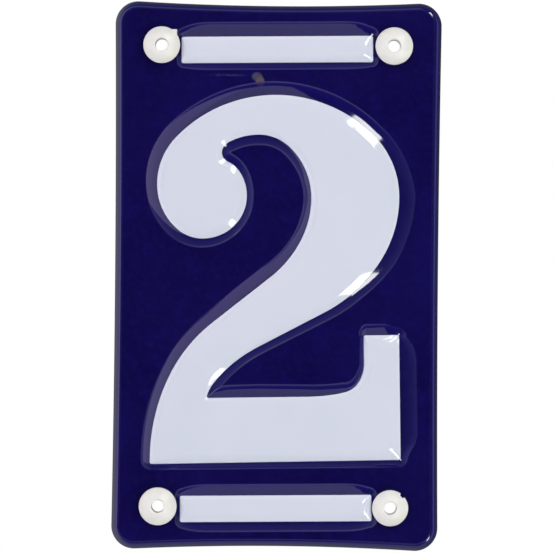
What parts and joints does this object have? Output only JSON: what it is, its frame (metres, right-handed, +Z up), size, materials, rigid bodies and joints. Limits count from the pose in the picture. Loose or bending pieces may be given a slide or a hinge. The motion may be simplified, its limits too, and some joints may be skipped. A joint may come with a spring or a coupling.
{
  "type": "house number plaque",
  "caption": "House number plaque of pressed enamelled steel: dark blue ground, raised white numeral between raised white bars, turned-back rim and plastic screw eyelets in the corners.",
  "frame": {"origin": "centre of the rectangle of four screw holes, on the wall plane behind the rim", "axes": "+Z up, +X to the right as the numeral is read, and the front faces -Y, so that +Y points into the wall"},
  "size_m": [0.0714, 0.0066, 0.12],
  "materials": {
    "blue_enamel": "fired vitreous enamel, glossy, with a slight ripple",
    "white_enamel": "fired vitreous enamel, glossy",
    "eyelet_plastic": "moulded nylon, semi-gloss"
  },
  "bodies": {
    "root": {"plate": "blue_enamel", "numeral_glaze": "white_enamel", "top_bar_glaze": "white_enamel", "bottom_bar_glaze": "white_enamel", "eyelet_top_left": "eyelet_plastic", "eyelet_top_right": "eyelet_plastic", "eyelet_bottom_left": "eyelet_plastic", "eyelet_bottom_right": "eyelet_plastic"}
  },
  "joints": []
}
